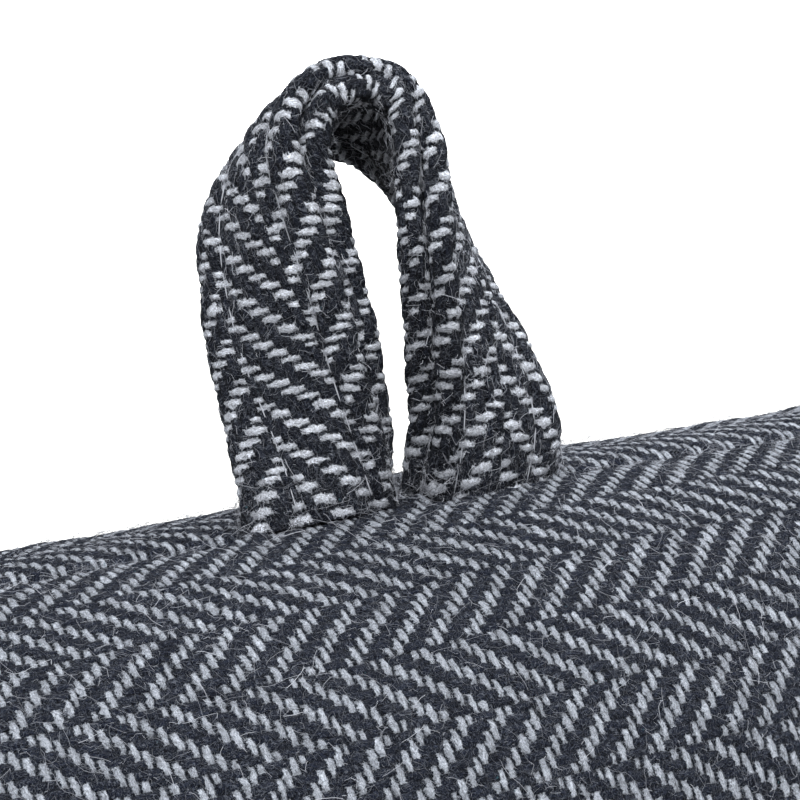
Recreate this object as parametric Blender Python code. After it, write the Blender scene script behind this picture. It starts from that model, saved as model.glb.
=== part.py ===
"""A draught excluder: a long tube of herringbone tweed, firmly filled, with a hanging loop.

The cover is one rectangle of cloth rolled round its filling. Its long edges meet in a seam along
the top, and each end is sewn shut with a straight seam. The loop is a strip of the same cloth,
folded in four and topstitched. Its two feet are sewn side by side into the long seam, so that its
open edge closes to a narrow gap in front and its folded edge spreads wide behind.

X runs along the tube, Z is up, and the tube lies on z = 0 with its middle at the origin.
"""

import math
from collections import namedtuple

import bmesh
import bpy
import numpy as np

MM = 0.001

# Filled tube
TUBE_LENGTH = 850 * MM
TUBE_RADIUS = 57 * MM
LOWER_HEIGHT = 0.92  # the lower half sags to this share of its radius
FLOOR_SINK = 2.5 * MM  # how far the round underside would pass the floor it flattens on
SEAM_DEPTH = 0.8 * MM
SEAM_SPREAD = 3.5 * MM
TUBE_SIDES = 48
MIDDLE_STATIONS = 37
MIDDLE_CROWD = 0.35  # 0 spaces the middle stations evenly, 1 crowds them all round the loop

# Pinched ends
END_LENGTH = 78 * MM
END_SEAM_HALF_WIDTH = 67 * MM
END_SEAM_HALF_THICKNESS = 1.6 * MM
END_SEAM_HEIGHT = 40 * MM
END_DRAW_IN = 11 * MM  # how far the middle of an end seam is pulled in between its corners
END_STATIONS = 13
END_SPREAD_POWER = 1.5
PUCKER_DEPTH = 2.6 * MM
PUCKERS_ACROSS = 4.5
PUCKER_SHIFT = 0.8  # so that the two ends' puckers don't line up
UNDER_PUCKER_SHARE = 0.6

# Slow swells of the filling along the tube
Swell = namedtuple("Swell", "height wave phase")
RADIUS_SWELLS = (
    Swell(0.9 * MM, 310 * MM, 0.6),
    Swell(0.5 * MM, 137 * MM, 2.1),
)
SIDE_SWELLS = (
    Swell(1.1 * MM, 230 * MM, 1.1),
    Swell(0.6 * MM, 96 * MM, 0.2),
)
SIDE_SWELL_TURN = 0.7  # where round the tube the side swells are strongest

# Folded strip of the loop
PLY = 3.1 * MM  # one side of the strip, itself folded double
PLY_LAG = 0.8 * MM  # how far the outer side's open edge lies behind the middle, and the inner's ahead
TAPE_CUP = 0.7 * MM  # how far the strip's edges curl towards its inner face
GROOVE_DEPTH = 3.6 * MM
GROOVE_GAP = 0.5 * MM
REAR_STITCH_INSET = 5.8 * MM
STITCH_PINCH = 0.6 * MM
FOOT_GAP = 0.3 * MM
FOOT_REACH = 24 * MM
FOOT_HALF_THICKNESS = 4 * MM
LOOP_STATIONS = 96

# The loop leans back and is turned to the left of the tube's front
LOOP_TURN = math.radians(28)
LOOP_LEAN = math.radians(15)

# The strip's two edges, from the left foot over the top to the right foot, in millimetres as seen
# from the loop's front, then how far the front row of stitches lies from the front edge. The front
# edge is the open one, and the rear edge is the fold.
Edges = namedtuple(
    "Edges", "front_across front_up front_back rear_across rear_up rear_back stitch_inset"
)
LOOP_EDGES = (
    Edges(-1.1, 0.0, -0.4, -20.0, -2.8, -10.0, 4.6),
    Edges(-2.1, 10.0, -2.6, -22.0, 6.2, -4.2, 4.8),
    Edges(-3.7, 19.6, -5.0, -24.2, 15.8, 0.8, 5.0),
    Edges(-6.1, 29.8, -7.0, -25.8, 26.5, 3.6, 5.0),
    Edges(-9.0, 39.7, -8.0, -25.2, 37.1, 6.2, 5.2),
    Edges(-10.3, 46.6, -8.0, -22.2, 41.8, 8.0, 5.2),
    Edges(-8.8, 52.8, -8.0, -17.0, 46.0, 9.4, 5.2),
    Edges(-4.2, 55.4, -8.0, -10.8, 47.8, 10.0, 5.0),
    Edges(0.6, 53.6, -8.0, -4.6, 46.2, 10.8, 4.8),
    Edges(2.6, 48.4, -8.0, 0.8, 42.6, 11.0, 4.4),
    Edges(3.2, 38.7, -7.5, 6.4, 35.4, 11.0, 4.0),
    Edges(3.3, 28.5, -6.5, 12.0, 27.4, 10.5, 3.9),
    Edges(3.4, 18.1, -4.5, 17.3, 19.0, 10.0, 3.9),
    Edges(2.8, 7.9, -2.0, 20.9, 9.0, 9.9, 4.2),
    Edges(1.1, 0.0, 0.4, 20.0, 2.8, 10.0, 4.4),
)


def swell(x, swells):
    """The sum of some slow waves at a place along the tube."""
    return sum(s.height * math.sin(2 * math.pi * x / s.wave + s.phase) for s in swells)


def tube_point(x_middle, turn, end_share, end_side):
    """A point of the cover at a turn from the top seam, over the front, round to the top again."""
    radius = TUBE_RADIUS + swell(x_middle, RADIUS_SWELLS)
    side = swell(x_middle, SIDE_SWELLS) * abs(math.sin(turn)) ** 2 * math.cos(turn - SIDE_SWELL_TURN)
    across = -(radius + side) * math.sin(turn)
    centre = LOWER_HEIGHT * TUBE_RADIUS - FLOOR_SINK
    lift = radius * math.cos(turn)
    height = centre + (lift if lift > 0 else LOWER_HEIGHT * lift)
    arc = radius * min(turn, 2 * math.pi - turn)
    height -= SEAM_DEPTH * math.exp(-((arc / SEAM_SPREAD) ** 2))
    x = x_middle
    if end_share > 0:
        round_share = math.sqrt(max(0.0, 1 - end_share**2))
        flat = 1 - round_share
        lens = END_SEAM_HALF_THICKNESS * math.cos(turn)
        height = round_share * height + flat * (END_SEAM_HEIGHT + lens)
        wide = END_SEAM_HALF_WIDTH * -math.sin(turn)
        across += (wide - across) * end_share**END_SPREAD_POWER
        reach = abs(wide) / END_SEAM_HALF_WIDTH
        x -= end_side * END_DRAW_IN * (1 - reach**2) * end_share**2
        phase = math.pi * PUCKERS_ACROSS * across / END_SEAM_HALF_WIDTH + PUCKER_SHIFT * end_side
        fade = 4 * end_share * (1 - end_share) * (1 - reach**2)
        above = math.cos(turn) > 0
        height += PUCKER_DEPTH * math.cos(phase) * fade * (1 if above else -UNDER_PUCKER_SHARE)
    return x, across, max(height, 0.0)


def tube_stations():
    """Each station's place along the tube, its share of a pinched end, and which end that is."""
    middle = TUBE_LENGTH / 2 - END_LENGTH
    ends = [math.sin(0.5 * math.pi * i / END_STATIONS) for i in range(1, END_STATIONS + 1)]
    found = [(-(middle + END_LENGTH * s), s, -1) for s in reversed(ends)]
    for i in range(MIDDLE_STATIONS):
        place = 2 * i / (MIDDLE_STATIONS - 1) - 1
        crowded = (1 - MIDDLE_CROWD) * place + MIDDLE_CROWD * place**3  # closer near the loop
        found.append((crowded * middle, 0.0, 0))
    found += [(middle + END_LENGTH * s, s, 1) for s in ends]
    return found


def smooth_route(rows, count):
    """A cubic curve through the rows, with the stations an equal length apart along the middle."""
    values = np.array(rows, float)
    middles = (values[:, :3] + values[:, 3:6]) / 2
    knots = np.concatenate([[0], np.cumsum(np.linalg.norm(np.diff(middles, axis=0), axis=1))])
    slopes = np.gradient(values, knots, axis=0)

    def at(place):
        i = min(int(np.searchsorted(knots, place, side="right")) - 1, len(rows) - 2)
        span = knots[i + 1] - knots[i]
        s = (place - knots[i]) / span
        start = (1 + 2 * s) * (1 - s) ** 2 * values[i] + s * (1 - s) ** 2 * span * slopes[i]
        end = s * s * (3 - 2 * s) * values[i + 1] + s * s * (s - 1) * span * slopes[i + 1]
        return start + end

    return np.array([at(place) for place in np.linspace(0, knots[-1], count)])


def tape_section(width, inset):
    """The folded strip's outline as (depth from the open edge, height towards the outer face)."""
    half_gap = GROOVE_GAP / 2
    rim = [
        (GROOVE_DEPTH * 0.55, half_gap),
        (0.30 * PLY, half_gap * 1.3),
        (0.08 * PLY, half_gap + 0.22 * PLY),
        (0.0, half_gap + 0.48 * PLY),
        (0.10 * PLY, half_gap + 0.78 * PLY),
        (0.36 * PLY, half_gap + 0.98 * PLY),
    ]
    face = [
        (inset - 1.1 * MM, PLY + 0.1 * MM),
        (inset, PLY - STITCH_PINCH),
        (inset + 1.8 * MM, PLY),
        (width / 2, PLY + 0.2 * MM),
        (width - REAR_STITCH_INSET - 1.6 * MM, PLY),
        (width - REAR_STITCH_INSET, PLY - STITCH_PINCH),
        (width - REAR_STITCH_INSET + 1.8 * MM, PLY),
        (width - 1.3 * MM, PLY - 0.9 * MM),
        (width - 0.3 * MM, PLY - 2.0 * MM),
    ]
    outer = [(depth + PLY_LAG, height) for depth, height in rim] + face
    inner = [(depth - PLY_LAG, -height) for depth, height in rim]
    inner += [(depth, -height) for depth, height in face]
    outline = [(GROOVE_DEPTH, 0.0)] + outer + [(width, 0.0)] + inner[::-1]
    middle = width / 2
    return [
        (depth, height + TAPE_CUP * (1 - ((depth - middle) / middle) ** 2))
        for depth, height in outline
    ]


def loop_axes():
    """The loop's own right, up and back directions in the tube's frame."""
    cos_turn, sin_turn = math.cos(LOOP_TURN), math.sin(LOOP_TURN)
    cos_lean, sin_lean = math.cos(LOOP_LEAN), math.sin(LOOP_LEAN)
    right = np.array([cos_turn, -sin_turn, 0.0])
    back = np.array([sin_turn * cos_lean, cos_turn * cos_lean, -sin_lean])
    return np.array([right, np.cross(right, back), back])


def foot_height():
    """The height of the loop's feet, just clear of the highest part of the cover under them."""
    places = np.linspace(-FOOT_REACH, FOOT_REACH, 9)
    turns = np.linspace(0, FOOT_HALF_THICKNESS / TUBE_RADIUS, 4)
    return FOOT_GAP + max(tube_point(x, turn, 0.0, 0)[2] for x in places for turn in turns)


def unit(rows):
    """Each row's direction, one long."""
    return rows / np.linalg.norm(rows, axis=-1, keepdims=True)


def loop_rings():
    """The strip's outline at each station along the loop."""
    route = smooth_route(LOOP_EDGES, LOOP_STATIONS) * MM
    fronts, rears, insets = route[:, :3], route[:, 3:6], route[:, 6]
    ways = unit(np.gradient((fronts + rears) / 2, axis=0))
    widths = np.linalg.norm(rears - fronts, axis=1)
    wides = unit(rears - fronts)
    thicks = unit(np.cross(wides, ways))
    height = foot_height()
    rings = []
    for front, width, wide, thick, inset in zip(fronts, widths, wides, thicks, insets):
        section = tape_section(width, inset)
        ring = [front + depth * wide + rise * thick for depth, rise in section]
        rings.append(np.array(ring) @ loop_axes() + [0.0, 0.0, height])
    for ring in (rings[0], rings[-1]):
        ring[:, 2] = height
    return rings


def tube_rings():
    """The cover's outline at each station, with the box of all of them centred on the origin."""
    turns = [2 * math.pi * i / TUBE_SIDES for i in range(TUBE_SIDES)]
    rings = [
        np.array([tube_point(x, turn, share, side) for turn in turns])
        for x, share, side in tube_stations()
    ]
    points = np.concatenate(rings)
    middle = (points.max(axis=0) + points.min(axis=0)) / 2
    return [ring - [middle[0], middle[1], 0.0] for ring in rings]


def cloth_material(name, colour, roughness):
    """A plain woollen cloth."""
    material = bpy.data.materials.new(name)
    material.use_nodes = True
    shader = material.node_tree.nodes["Principled BSDF"]
    shader.inputs["Base Color"].default_value = (*colour, 1.0)
    shader.inputs["Roughness"].default_value = roughness
    shader.inputs["Metallic"].default_value = 0.0
    material.diffuse_color = (*colour, 1.0)
    return material


def lofted(name, rings, material, collection):
    """A closed skin through rings of equal count, with a flat cap on each end."""
    shape = bmesh.new()
    rows = [[shape.verts.new(point) for point in ring] for ring in rings]
    count = len(rows[0])
    for first, second in zip(rows, rows[1:]):
        for i in range(count):
            j = (i + 1) % count
            shape.faces.new((first[i], first[j], second[j], second[i]))
    shape.faces.new(list(reversed(rows[0])))
    shape.faces.new(rows[-1])
    bmesh.ops.recalc_face_normals(shape, faces=shape.faces)
    if shape.calc_volume(signed=True) < 0:
        bmesh.ops.reverse_faces(shape, faces=shape.faces)
    mesh = bpy.data.meshes.new(name)
    shape.to_mesh(mesh)
    shape.free()
    mesh.shade_smooth()
    mesh.set_sharp_from_angle(angle=math.radians(50))
    mesh.materials.append(material)
    piece = bpy.data.objects.new(name, mesh)
    collection.objects.link(piece)
    return piece


def main():
    for old in list(bpy.data.objects):
        bpy.data.objects.remove(old, do_unlink=True)
    collection = bpy.data.collections.new("draught_excluder")
    bpy.context.scene.collection.children.link(collection)
    tweed = cloth_material("herringbone_tweed", (0.085, 0.09, 0.11), 0.95)
    strip = cloth_material("herringbone_strip", (0.095, 0.1, 0.12), 0.95)
    lofted("cover", tube_rings(), tweed, collection)
    lofted("hanging_loop", loop_rings(), strip, collection)


main()
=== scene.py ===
# %% [markdown]
# # A draught excluder in herringbone tweed
#
# A draught excluder is a long cloth tube, filled firmly, that lies along the foot of a door.
# This one has a small hanging loop sewn into its top seam, and the picture is taken from so
# near that single yarns and stray wool fibres show.
# Everything is in metres. X runs along the tube, Z is up, and the tube lies on z = 0.

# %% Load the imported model
import math

import bpy
import numpy as np
from mathutils import Matrix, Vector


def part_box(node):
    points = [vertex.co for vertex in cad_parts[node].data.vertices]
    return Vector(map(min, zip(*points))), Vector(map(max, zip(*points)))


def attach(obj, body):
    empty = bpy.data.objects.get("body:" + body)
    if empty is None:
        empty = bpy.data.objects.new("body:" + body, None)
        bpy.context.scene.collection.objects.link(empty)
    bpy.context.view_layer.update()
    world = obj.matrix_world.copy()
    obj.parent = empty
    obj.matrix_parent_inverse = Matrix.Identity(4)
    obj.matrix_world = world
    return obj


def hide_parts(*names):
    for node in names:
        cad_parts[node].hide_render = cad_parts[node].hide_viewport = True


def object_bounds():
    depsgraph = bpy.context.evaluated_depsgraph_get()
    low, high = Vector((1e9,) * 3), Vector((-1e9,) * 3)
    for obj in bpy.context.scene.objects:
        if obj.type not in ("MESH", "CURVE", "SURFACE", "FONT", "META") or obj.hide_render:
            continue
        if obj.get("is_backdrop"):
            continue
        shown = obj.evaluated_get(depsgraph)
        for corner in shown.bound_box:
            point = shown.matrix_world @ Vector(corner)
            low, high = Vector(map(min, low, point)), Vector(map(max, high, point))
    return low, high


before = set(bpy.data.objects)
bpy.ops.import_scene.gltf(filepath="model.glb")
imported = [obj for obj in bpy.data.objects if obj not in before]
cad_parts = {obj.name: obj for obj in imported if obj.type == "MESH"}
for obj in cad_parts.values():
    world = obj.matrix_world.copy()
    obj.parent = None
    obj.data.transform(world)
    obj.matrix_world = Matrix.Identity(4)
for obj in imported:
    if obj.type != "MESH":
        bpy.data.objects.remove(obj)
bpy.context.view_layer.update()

MM = 0.001

# %% [markdown]
# ## Small tools
#
# Three helpers serve the whole file. `add` puts one node in a tree, with its settings and
# links. `linear` turns an sRGB hex colour into the linear values that a shader works in.
# `soft_noise` is smooth value noise with a fixed seed, so that nothing changes between runs.

# %% Helpers
def add(tree, kind, inputs=None, **settings):
    """One node in a tree, with its settings, and each input given as a socket or a value."""
    made = tree.nodes.new(kind)
    for name, value in settings.items():
        setattr(made, name, value)
    for key, value in (inputs or {}).items():
        if isinstance(value, bpy.types.NodeSocket):
            tree.links.new(value, made.inputs[key])
        else:
            made.inputs[key].default_value = value
    return made


def linear(hex_colour):
    parts = [int(hex_colour[i : i + 2], 16) / 255 for i in (1, 3, 5)]
    return [p / 12.92 if p <= 0.04045 else ((p + 0.055) / 1.055) ** 2.4 for p in parts] + [1.0]


def soft_noise(a, b, seed):
    """Smooth noise from -1 to 1 over two coordinates, one bump for each unit."""
    grid = np.random.default_rng(seed).uniform(-1, 1, (64, 64))
    i, j = np.floor(a).astype(int), np.floor(b).astype(int)
    s, t = a - i, b - j
    s, t = s * s * (3 - 2 * s), t * t * (3 - 2 * t)
    low = grid[i % 64, j % 64] * (1 - s) + grid[(i + 1) % 64, j % 64] * s
    high = grid[i % 64, (j + 1) % 64] * (1 - s) + grid[(i + 1) % 64, (j + 1) % 64] * s
    return low * (1 - t) + high * t


def ramp(value, start, end):
    """0 before start, 1 after end, and smooth between."""
    share = np.clip((value - start) / (end - start), 0, 1)
    return share * share * (3 - 2 * share)


# %% [markdown]
# ## The weave
#
# The cloth is a two-and-two twill: each yarn passes over two and under two, and each row
# steps on by one, which makes diagonal lines. After every eight warp ends the step turns
# round, which makes the zigzag called herringbone. The warp is charcoal and runs along the
# tube, and the weft is light grey.
#
# It could be painted as a flat pattern, but at this distance each yarn has its own roundness
# and shadow. So one rule says which yarn is on top, and it is used twice: in numpy to raise
# the mesh, and in shader nodes to colour it. Both read the same UV map, counted in warp ends
# (U) and weft picks (V).

# %% Which yarn is on top, and how high the cloth stands there
STRIPE_ENDS = 8
WEFT_CROWN, WEFT_FALL = 1.0, 4.6  # a weft yarn is thin and round
WARP_CROWN, WARP_FALL = 1.2, 2.6  # a warp yarn is fat, and fills the gaps


def weft_is_over(end, pick):
    turned = np.floor(end / STRIPE_ENDS) % 2
    return ((pick + (2 * turned - 1) * end + 3 * turned) % 4 < 1.5).astype(float)


def weave_height(ends, picks):
    """The top of the cloth, from 0.4 between yarns to 2.2 on the crown of a float."""
    end, pick = np.floor(ends), np.floor(picks)
    off_warp, off_weft = ends - end - 0.5, picks - pick - 0.5
    here = weft_is_over(end, pick)
    beside = weft_is_over(end + np.sign(off_warp), pick)
    beyond = weft_is_over(end, pick + np.sign(off_weft))
    weft = here + (beside - here) * (1 - np.cos(2 * np.pi * off_warp)) / 4
    warp = 1 - here + (here - beyond) * (1 - np.cos(2 * np.pi * off_weft)) / 4
    weft += WEFT_CROWN * (1 - WEFT_FALL * off_weft**2)
    warp += WARP_CROWN * (1 - WARP_FALL * off_warp**2)
    return np.maximum(weft, warp)


def uneven(ends, picks, seed):
    """Yarns wander a little: the same coordinates, pushed about by up to a fifth of a yarn."""
    moved_ends = ends + 0.16 * soft_noise(ends / 2.1, picks / 5.0, seed)
    moved_ends += 0.08 * soft_noise(ends / 0.9, picks / 1.7, seed + 1)
    moved_picks = picks + 0.18 * soft_noise(ends / 5.0, picks / 1.6, seed + 2)
    moved_picks += 0.10 * soft_noise(ends / 1.3, picks / 0.9, seed + 3)
    return moved_ends, moved_picks


print("share of weft on top:", weft_is_over(*np.meshgrid(np.arange(16), np.arange(16))).mean())

# %% [markdown]
# ## The weave for the shader
#
# The colour of a point depends on the same question as its height: which yarn is on top.
# Written as a node group it can be asked three times for each point, for the yarn itself and
# for its two neighbours, and it always agrees with the raised mesh.

# %% The same rule as a node group
over = bpy.data.node_groups.new("weft is over", "ShaderNodeTree")
over.interface.new_socket("End", in_out="INPUT", socket_type="NodeSocketFloat")
over.interface.new_socket("Pick", in_out="INPUT", socket_type="NodeSocketFloat")
over.interface.new_socket("Over", in_out="OUTPUT", socket_type="NodeSocketFloat")
given = add(over, "NodeGroupInput")
stripe = add(over, "ShaderNodeMath", {0: given.outputs["End"], 1: STRIPE_ENDS}, operation="DIVIDE")
stripe = add(over, "ShaderNodeMath", {0: stripe.outputs[0]}, operation="FLOOR")
turned = add(over, "ShaderNodeMath", {0: stripe.outputs[0], 1: 2.0}, operation="FLOORED_MODULO")
way = add(over, "ShaderNodeMath", {0: turned.outputs[0], 1: 2.0, 2: -1.0}, operation="MULTIPLY_ADD")
step = add(
    over,
    "ShaderNodeMath",
    {0: given.outputs["End"], 1: way.outputs[0], 2: given.outputs["Pick"]},
    operation="MULTIPLY_ADD",
)
step = add(
    over,
    "ShaderNodeMath",
    {0: turned.outputs[0], 1: 3.0, 2: step.outputs[0]},
    operation="MULTIPLY_ADD",
)
step = add(over, "ShaderNodeMath", {0: step.outputs[0], 1: 4.0}, operation="FLOORED_MODULO")
step = add(over, "ShaderNodeMath", {0: step.outputs[0], 1: 1.5}, operation="LESS_THAN")
add(over, "NodeGroupOutput", {"Over": step.outputs[0]})
print("node group of", len(over.nodes), "nodes")

# %% [markdown]
# ## The tweed
#
# Tweed is a woollen cloth: the fibres are carded, not combed, so the yarns are hairy and
# mixed in colour, with a few odd flecks. Light scatters in the fibres and nothing shines,
# which is a rough surface with hardly any sheen.
#
# The shader works out, at each point, how high the weft and the warp stand. The higher of
# the two gives the colour. Noise that is drawn out along each yarn gives its fibres, thin
# curled lines are the hairs that lie about, and the gaps between yarns get painted shade.
# A factor stored on the mesh paints more shade where folds and seams keep light away.

# %% Woollen tweed material
def tweed_material(name, weft_hex, warp_hex, relief, thin):
    material = bpy.data.materials.new(name)
    material.use_nodes = True
    tree = material.node_tree
    shader = tree.nodes["Principled BSDF"]
    uv = add(tree, "ShaderNodeUVMap", uv_map="yarns").outputs[0]
    # Ragged sides: fibres push the edge of each yarn about.
    rag = add(tree, "ShaderNodeTexNoise", {"Vector": uv, "Scale": 3.6, "Detail": 4.0, "Roughness": 0.7})
    rag = add(
        tree,
        "ShaderNodeVectorMath",
        {0: rag.outputs["Color"], 1: (0.5, 0.5, 0.5)},
        operation="SUBTRACT",
    )
    rag = add(tree, "ShaderNodeVectorMath", {0: rag.outputs[0], "Scale": 0.75}, operation="SCALE")
    at = add(tree, "ShaderNodeVectorMath", {0: uv, 1: rag.outputs[0]}, operation="ADD")
    at = add(tree, "ShaderNodeSeparateXYZ", {0: at.outputs[0]})
    ends, picks = at.outputs["X"], at.outputs["Y"]
    end = add(tree, "ShaderNodeMath", {0: ends}, operation="FLOOR").outputs[0]
    pick = add(tree, "ShaderNodeMath", {0: picks}, operation="FLOOR").outputs[0]
    off_warp = add(tree, "ShaderNodeMath", {0: ends}, operation="FRACT").outputs[0]
    off_warp = add(tree, "ShaderNodeMath", {0: off_warp, 1: 0.5}, operation="SUBTRACT").outputs[0]
    off_weft = add(tree, "ShaderNodeMath", {0: picks}, operation="FRACT").outputs[0]
    off_weft = add(tree, "ShaderNodeMath", {0: off_weft, 1: 0.5}, operation="SUBTRACT").outputs[0]
    heights = []
    here = add(tree, "ShaderNodeGroup", {0: end, 1: pick}, node_tree=over).outputs[0]
    under = add(tree, "ShaderNodeMath", {0: 1.0, 1: here}, operation="SUBTRACT").outputs[0]
    for is_weft, off_along, off_across, crown_height, fall in (
        (True, off_warp, off_weft, WEFT_CROWN, WEFT_FALL),
        (False, off_weft, off_warp, WARP_CROWN, WARP_FALL),
    ):
        side = add(tree, "ShaderNodeMath", {0: off_along}, operation="SIGN").outputs[0]
        moved = add(
            tree,
            "ShaderNodeMath",
            {0: end if is_weft else pick, 1: side},
            operation="ADD",
        ).outputs[0]
        pair = {0: moved, 1: pick} if is_weft else {0: end, 1: moved}
        beside = add(tree, "ShaderNodeGroup", pair, node_tree=over).outputs[0]
        lean = add(
            tree,
            "ShaderNodeMath",
            {0: off_along, 1: 2 * math.pi},
            operation="MULTIPLY",
        ).outputs[0]
        lean = add(tree, "ShaderNodeMath", {0: lean}, operation="COSINE").outputs[0]
        lean = add(
            tree,
            "ShaderNodeMath",
            {0: lean, 1: -0.25, 2: 0.25},
            operation="MULTIPLY_ADD",
        ).outputs[0]
        two = {0: beside, 1: here} if is_weft else {0: here, 1: beside}
        change = add(tree, "ShaderNodeMath", two, operation="SUBTRACT").outputs[0]
        base = here if is_weft else under
        middle = add(
            tree,
            "ShaderNodeMath",
            {0: lean, 1: change, 2: base},
            operation="MULTIPLY_ADD",
        ).outputs[0]
        square = add(
            tree,
            "ShaderNodeMath",
            {0: off_across, 1: off_across},
            operation="MULTIPLY",
        ).outputs[0]
        crown = add(
            tree,
            "ShaderNodeMath",
            {0: square, 1: -fall * crown_height, 2: crown_height},
            operation="MULTIPLY_ADD",
        ).outputs[0]
        heights.append(add(tree, "ShaderNodeMath", {0: crown, 1: middle}, operation="ADD").outputs[0])
    weft_top, warp_top = heights
    # No two floats are alike: broad noise makes some stand proud and others sink.
    vary = add(tree, "ShaderNodeMapping", {"Vector": uv, "Scale": (0.45, 0.95, 1.0)}).outputs[0]
    vary = add(tree, "ShaderNodeTexNoise", {"Vector": vary, "Scale": 1.0, "Detail": 1.0}).outputs[0]
    vary = add(tree, "ShaderNodeMath", {0: vary, 1: 1.3, 2: -0.65}, operation="MULTIPLY_ADD").outputs[0]
    weft_top = add(tree, "ShaderNodeMath", {0: weft_top, 1: vary}, operation="ADD").outputs[0]
    lead = add(tree, "ShaderNodeMath", {0: weft_top, 1: warp_top}, operation="SUBTRACT").outputs[0]
    weft = add(
        tree,
        "ShaderNodeMapRange",
        {0: lead, 1: thin, 2: thin + 0.30, 3: 0.0, 4: 1.0},
        interpolation_type="SMOOTHSTEP",
    ).outputs[0]
    height = add(tree, "ShaderNodeMath", {0: weft_top, 1: warp_top}, operation="MAXIMUM").outputs[0]
    # Fibres: fine noise, drawn out along each yarn. U runs across the warp, V across the weft.
    noises = []
    for scale, turn, distortion in (((2.4, 5.2, 1.0), 0.25, 1.4), ((6.0, 2.6, 1.0), 0.5, 1.6)):
        place = add(
            tree,
            "ShaderNodeMapping",
            {"Vector": uv, "Scale": scale, "Rotation": (0, 0, turn)},
        ).outputs[0]
        noise = add(
            tree,
            "ShaderNodeTexNoise",
            {"Vector": place, "Scale": 1.0, "Detail": 4.0, "Roughness": 0.72, "Distortion": distortion},
        ).outputs[0]
        noises.append(noise)
    weft_fibre, warp_fibre = noises
    # Curled hairs: thin level lines of a broad noise look like wool fibres lying about.
    hairs = []
    for scale, shift, wide in ((0.8, 0.0, 0.10), (1.3, 17.0, 0.12), (1.1, 41.0, 0.11)):
        place = add(tree, "ShaderNodeMapping", {"Vector": uv, "Location": (shift, 0, 0)}).outputs[0]
        noise = add(
            tree,
            "ShaderNodeTexNoise",
            {"Vector": place, "Scale": scale, "Detail": 1.0, "Roughness": 0.6, "Distortion": 2.6},
        ).outputs[0]
        level = add(tree, "ShaderNodeMath", {0: noise, 1: 4.0}, operation="MULTIPLY").outputs[0]
        level = add(tree, "ShaderNodeMath", {0: level, 1: 0.5}, operation="PINGPONG").outputs[0]
        hair = add(tree, "ShaderNodeMapRange", {0: level, 1: 0.0, 2: wide, 3: 1.0, 4: 0.0})
        hairs.append(hair.outputs[0])
    # Colour of each yarn, from shade to light along its fibres.
    light, dark = linear(weft_hex), linear(warp_hex)
    weft_colour = add(tree, "ShaderNodeValToRGB", {0: weft_fibre})
    weft_colour.color_ramp.elements[0].position = 0.36
    weft_colour.color_ramp.elements[0].color = [c * 0.30 for c in light[:3]] + [1.0]
    weft_colour.color_ramp.elements[1].position = 0.62
    weft_colour.color_ramp.elements[1].color = [c * 1.35 for c in light[:3]] + [1.0]
    warp_colour = add(tree, "ShaderNodeValToRGB", {0: warp_fibre})
    warp_colour.color_ramp.elements[0].position = 0.42
    warp_colour.color_ramp.elements[0].color = [c * 0.25 for c in dark[:3]] + [1.0]
    warp_colour.color_ramp.elements[1].position = 0.68
    warp_colour.color_ramp.elements[1].color = [c * 5.0 for c in dark[:3]] + [1.0]
    colour = add(
        tree,
        "ShaderNodeMix",
        {0: weft, 6: warp_colour.outputs[0], 7: weft_colour.outputs[0]},
        data_type="RGBA",
    ).outputs[2]
    # Each float is a little lighter or darker than the next; the gaps between yarns get painted shade.
    blotch = add(tree, "ShaderNodeTexNoise", {"Vector": uv, "Scale": 0.55, "Detail": 2.0})
    blotch = add(
        tree,
        "ShaderNodeMapRange",
        {0: blotch.outputs[0], 1: 0.3, 2: 0.7, 3: 0.75, 4: 1.2},
    ).outputs[0]
    # Painted shade: the lower the cloth stands, the darker its colour, down to about a third in the gaps.
    depth = add(tree, "ShaderNodeMapRange", {0: height, 1: 0.9, 2: 1.9, 3: 0.35, 4: 1.05}).outputs[0]
    # Painted shade stored on the mesh: a factor below one where a fold or seam keeps light away.
    painted_light = add(tree, "ShaderNodeAttribute", attribute_name="painted_light").outputs["Fac"]
    shade = add(tree, "ShaderNodeMath", {0: blotch, 1: depth}, operation="MULTIPLY").outputs[0]
    colour = add(tree, "ShaderNodeVectorMath", {0: colour, "Scale": shade}, operation="SCALE").outputs[0]
    for hair, tint, most in zip(hairs, ("#8A909C", "#0C0D10", "#6C727E"), (0.38, 0.60, 0.34)):
        amount = add(tree, "ShaderNodeMath", {0: hair, 1: most}, operation="MULTIPLY").outputs[0]
        colour = add(
            tree,
            "ShaderNodeMix",
            {0: amount, 6: colour, 7: linear(tint)},
            data_type="RGBA",
        ).outputs[2]
    # A few odd fibres in brown and teal, as in any woollen yarn.
    fleck = add(tree, "ShaderNodeTexNoise", {"Vector": uv, "Scale": 1.9, "Detail": 1.0})
    flecked = add(
        tree,
        "ShaderNodeMapRange",
        {0: fleck.outputs[0], 1: 0.775, 2: 0.80, 3: 0.0, 4: 0.55},
    ).outputs[0]
    brown, teal = linear("#7A5A3C"), linear("#3F6470")
    odd = add(tree, "ShaderNodeMix", {0: blotch, 6: brown, 7: teal}, data_type="RGBA").outputs[2]
    colour = add(tree, "ShaderNodeMix", {0: flecked, 6: colour, 7: odd}, data_type="RGBA").outputs[2]
    # The stored painted shade multiplies the colour last.
    colour = add(tree, "ShaderNodeVectorMath", {0: colour, "Scale": painted_light}, operation="SCALE").outputs[0]
    tree.links.new(colour, shader.inputs["Base Color"])
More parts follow.
